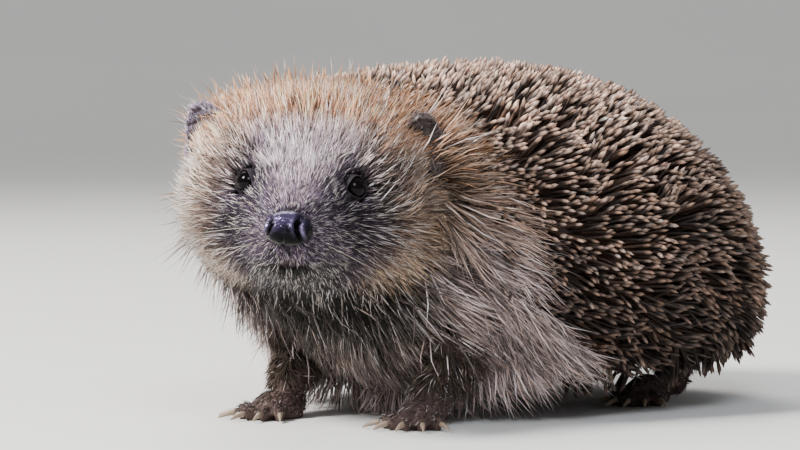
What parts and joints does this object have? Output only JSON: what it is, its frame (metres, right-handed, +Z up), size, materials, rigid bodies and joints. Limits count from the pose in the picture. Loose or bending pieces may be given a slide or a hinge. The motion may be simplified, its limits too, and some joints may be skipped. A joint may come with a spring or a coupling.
{
  "type": "hedgehog model",
  "caption": "Still life-size European hedgehog crouched on its feet, spine coat over a furred body, head turned to one side and looking ahead.",
  "frame": {"origin": "middle of the bounding box at the level of the soles", "axes": "+X towards the animal's left, +Y from the shoulders to the rump, +Z up"},
  "size_m": [0.1462, 0.2286, 0.1],
  "materials": {
    "spines": "banded horn spines, cream tips over a dark band",
    "face_fur": "short coarse hair, pale brow and dark mask",
    "body_fur": "long coarse grey-brown hair",
    "paw_skin": "bare granular pads and thinly haired toes",
    "ear_skin": "thin dark skin with short hair",
    "nose_skin": "moist black",
    "eye": "wet gloss black",
    "claw": "pale horn"
  },
  "bodies": {
    "root": {"head": "face_fur", "neck": "body_fur", "trunk": "body_fur", "spine_coat": "spines", "nose": "nose_skin", "tail": "body_fur", "eye_left": "eye", "ear_left": "ear_skin", "foreleg_left": "body_fur", "hindleg_left": "body_fur", "forepaw_left": "paw_skin", "hindpaw_left": "paw_skin", "eye_right": "eye", "ear_right": "ear_skin", "foreleg_right": "body_fur", "hindleg_right": "body_fur", "forepaw_right": "paw_skin", "hindpaw_right": "paw_skin", "foreclaw_left_1": "claw", "foreclaw_left_2": "claw", "foreclaw_left_3": "claw", "foreclaw_left_4": "claw", "foreclaw_left_5": "claw", "hindclaw_left_1": "claw", "hindclaw_left_2": "claw", "hindclaw_left_3": "claw", "hindclaw_left_4": "claw", "hindclaw_left_5": "claw", "foreclaw_right_1": "claw", "foreclaw_right_2": "claw", "foreclaw_right_3": "claw", "foreclaw_right_4": "claw", "foreclaw_right_5": "claw", "hindclaw_right_1": "claw", "hindclaw_right_2": "claw", "hindclaw_right_3": "claw", "hindclaw_right_4": "claw", "hindclaw_right_5": "claw"}
  },
  "joints": []
}
